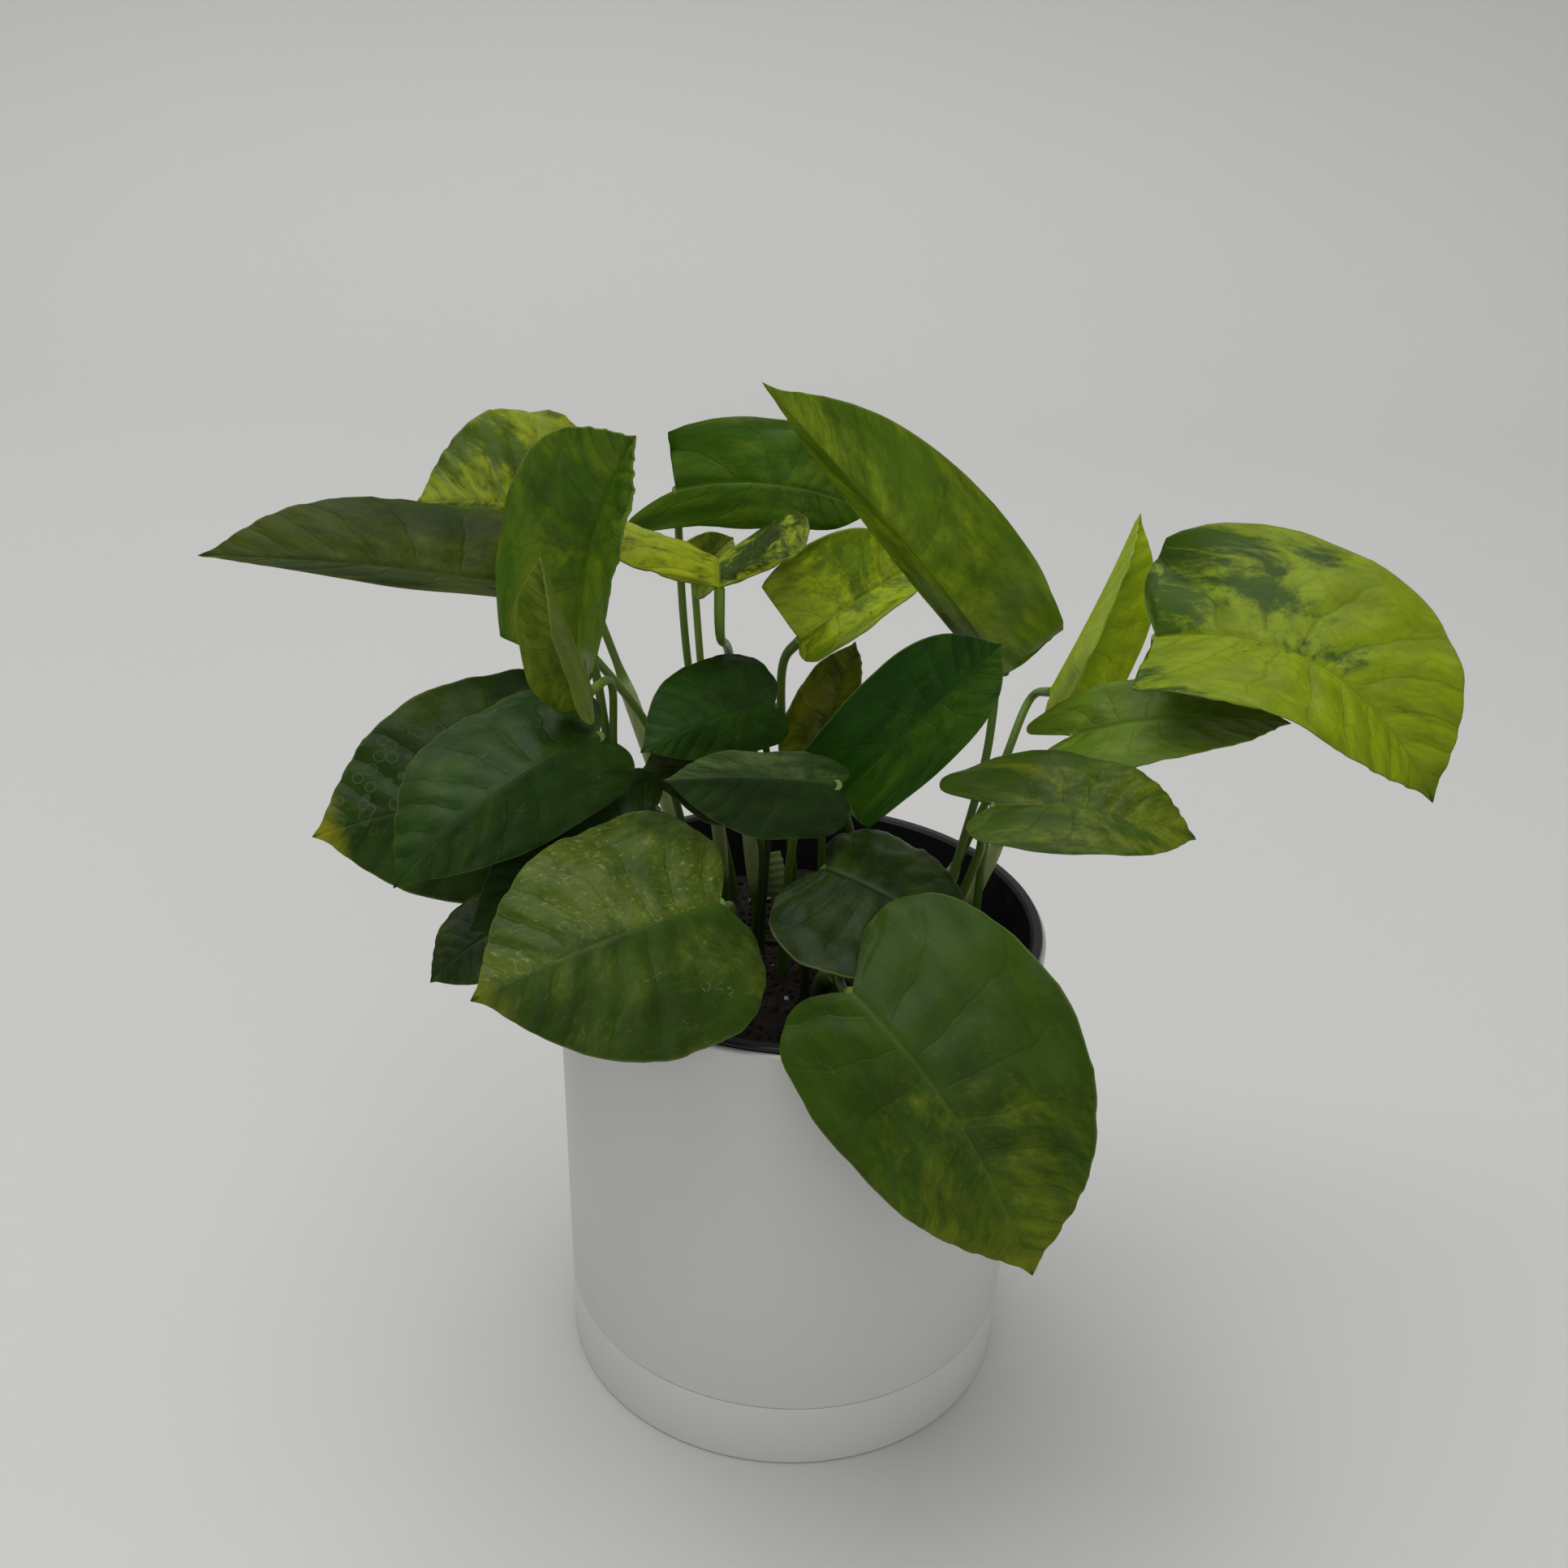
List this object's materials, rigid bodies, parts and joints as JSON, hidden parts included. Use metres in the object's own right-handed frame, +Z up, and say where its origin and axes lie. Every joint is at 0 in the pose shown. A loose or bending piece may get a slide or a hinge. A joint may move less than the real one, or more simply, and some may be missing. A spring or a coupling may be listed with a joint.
{
  "type": "potted pothos plant",
  "caption": "Pothos with heart-shaped, lime-marked green leaves on arching stalks, in a black nursery pot hung in a plain white round planter with a flush saucer.",
  "frame": {"origin": "centre of the saucer's flat underside, on the surface that the pot stands on", "axes": "+Z up, +X to the right and -Y to the front as the plant is usually seen"},
  "size_m": [0.384, 0.2204, 0.3601],
  "materials": {
    "white_plastic": "satin",
    "black_plastic": "satin",
    "potting_soil": "matte",
    "leaf_dark": "satin",
    "leaf_mid": "satin",
    "leaf_lime": "satin",
    "leaf_stalk": "satin",
    "main_stem": "satin"
  },
  "bodies": {
    "root": {"saucer": "white_plastic", "planter": "white_plastic", "nursery_pot": "black_plastic", "soil": "potting_soil", "vine_left": "main_stem", "vine_front": "main_stem", "vine_centre": "main_stem", "vine_right": "main_stem", "leaf_01": "leaf_mid", "stalk_01": "leaf_stalk", "leaf_02": "leaf_lime", "stalk_02": "leaf_stalk", "leaf_03": "leaf_mid", "stalk_03": "leaf_stalk", "leaf_04": "leaf_lime", "stalk_04": "leaf_stalk", "leaf_05": "leaf_dark", "stalk_05": "leaf_stalk", "leaf_06": "leaf_mid", "stalk_06": "leaf_stalk", "leaf_07": "leaf_dark", "stalk_07": "leaf_stalk", "leaf_08": "leaf_dark", "stalk_08": "leaf_stalk", "leaf_09": "leaf_mid", "stalk_09": "leaf_stalk", "leaf_10": "leaf_dark", "stalk_10": "leaf_stalk", "leaf_11": "leaf_mid", "stalk_11": "leaf_stalk", "leaf_12": "leaf_mid", "stalk_12": "leaf_stalk", "leaf_13": "leaf_dark", "stalk_13": "leaf_stalk", "leaf_14": "leaf_dark", "stalk_14": "leaf_stalk", "leaf_15": "leaf_lime", "stalk_15": "leaf_stalk", "leaf_16": "leaf_mid", "stalk_16": "leaf_stalk", "leaf_17": "leaf_mid", "stalk_17": "leaf_stalk", "leaf_18": "leaf_lime", "stalk_18": "leaf_stalk", "leaf_19": "leaf_lime", "stalk_19": "leaf_stalk", "leaf_20": "leaf_lime", "stalk_20": "leaf_stalk", "leaf_21": "leaf_lime", "stalk_21": "leaf_stalk", "leaf_22": "leaf_lime", "stalk_22": "leaf_stalk", "leaf_23": "leaf_mid", "stalk_23": "leaf_stalk", "leaf_24": "leaf_mid", "stalk_24": "leaf_stalk", "leaf_25": "leaf_dark", "stalk_25": "leaf_stalk"}
  },
  "joints": []
}
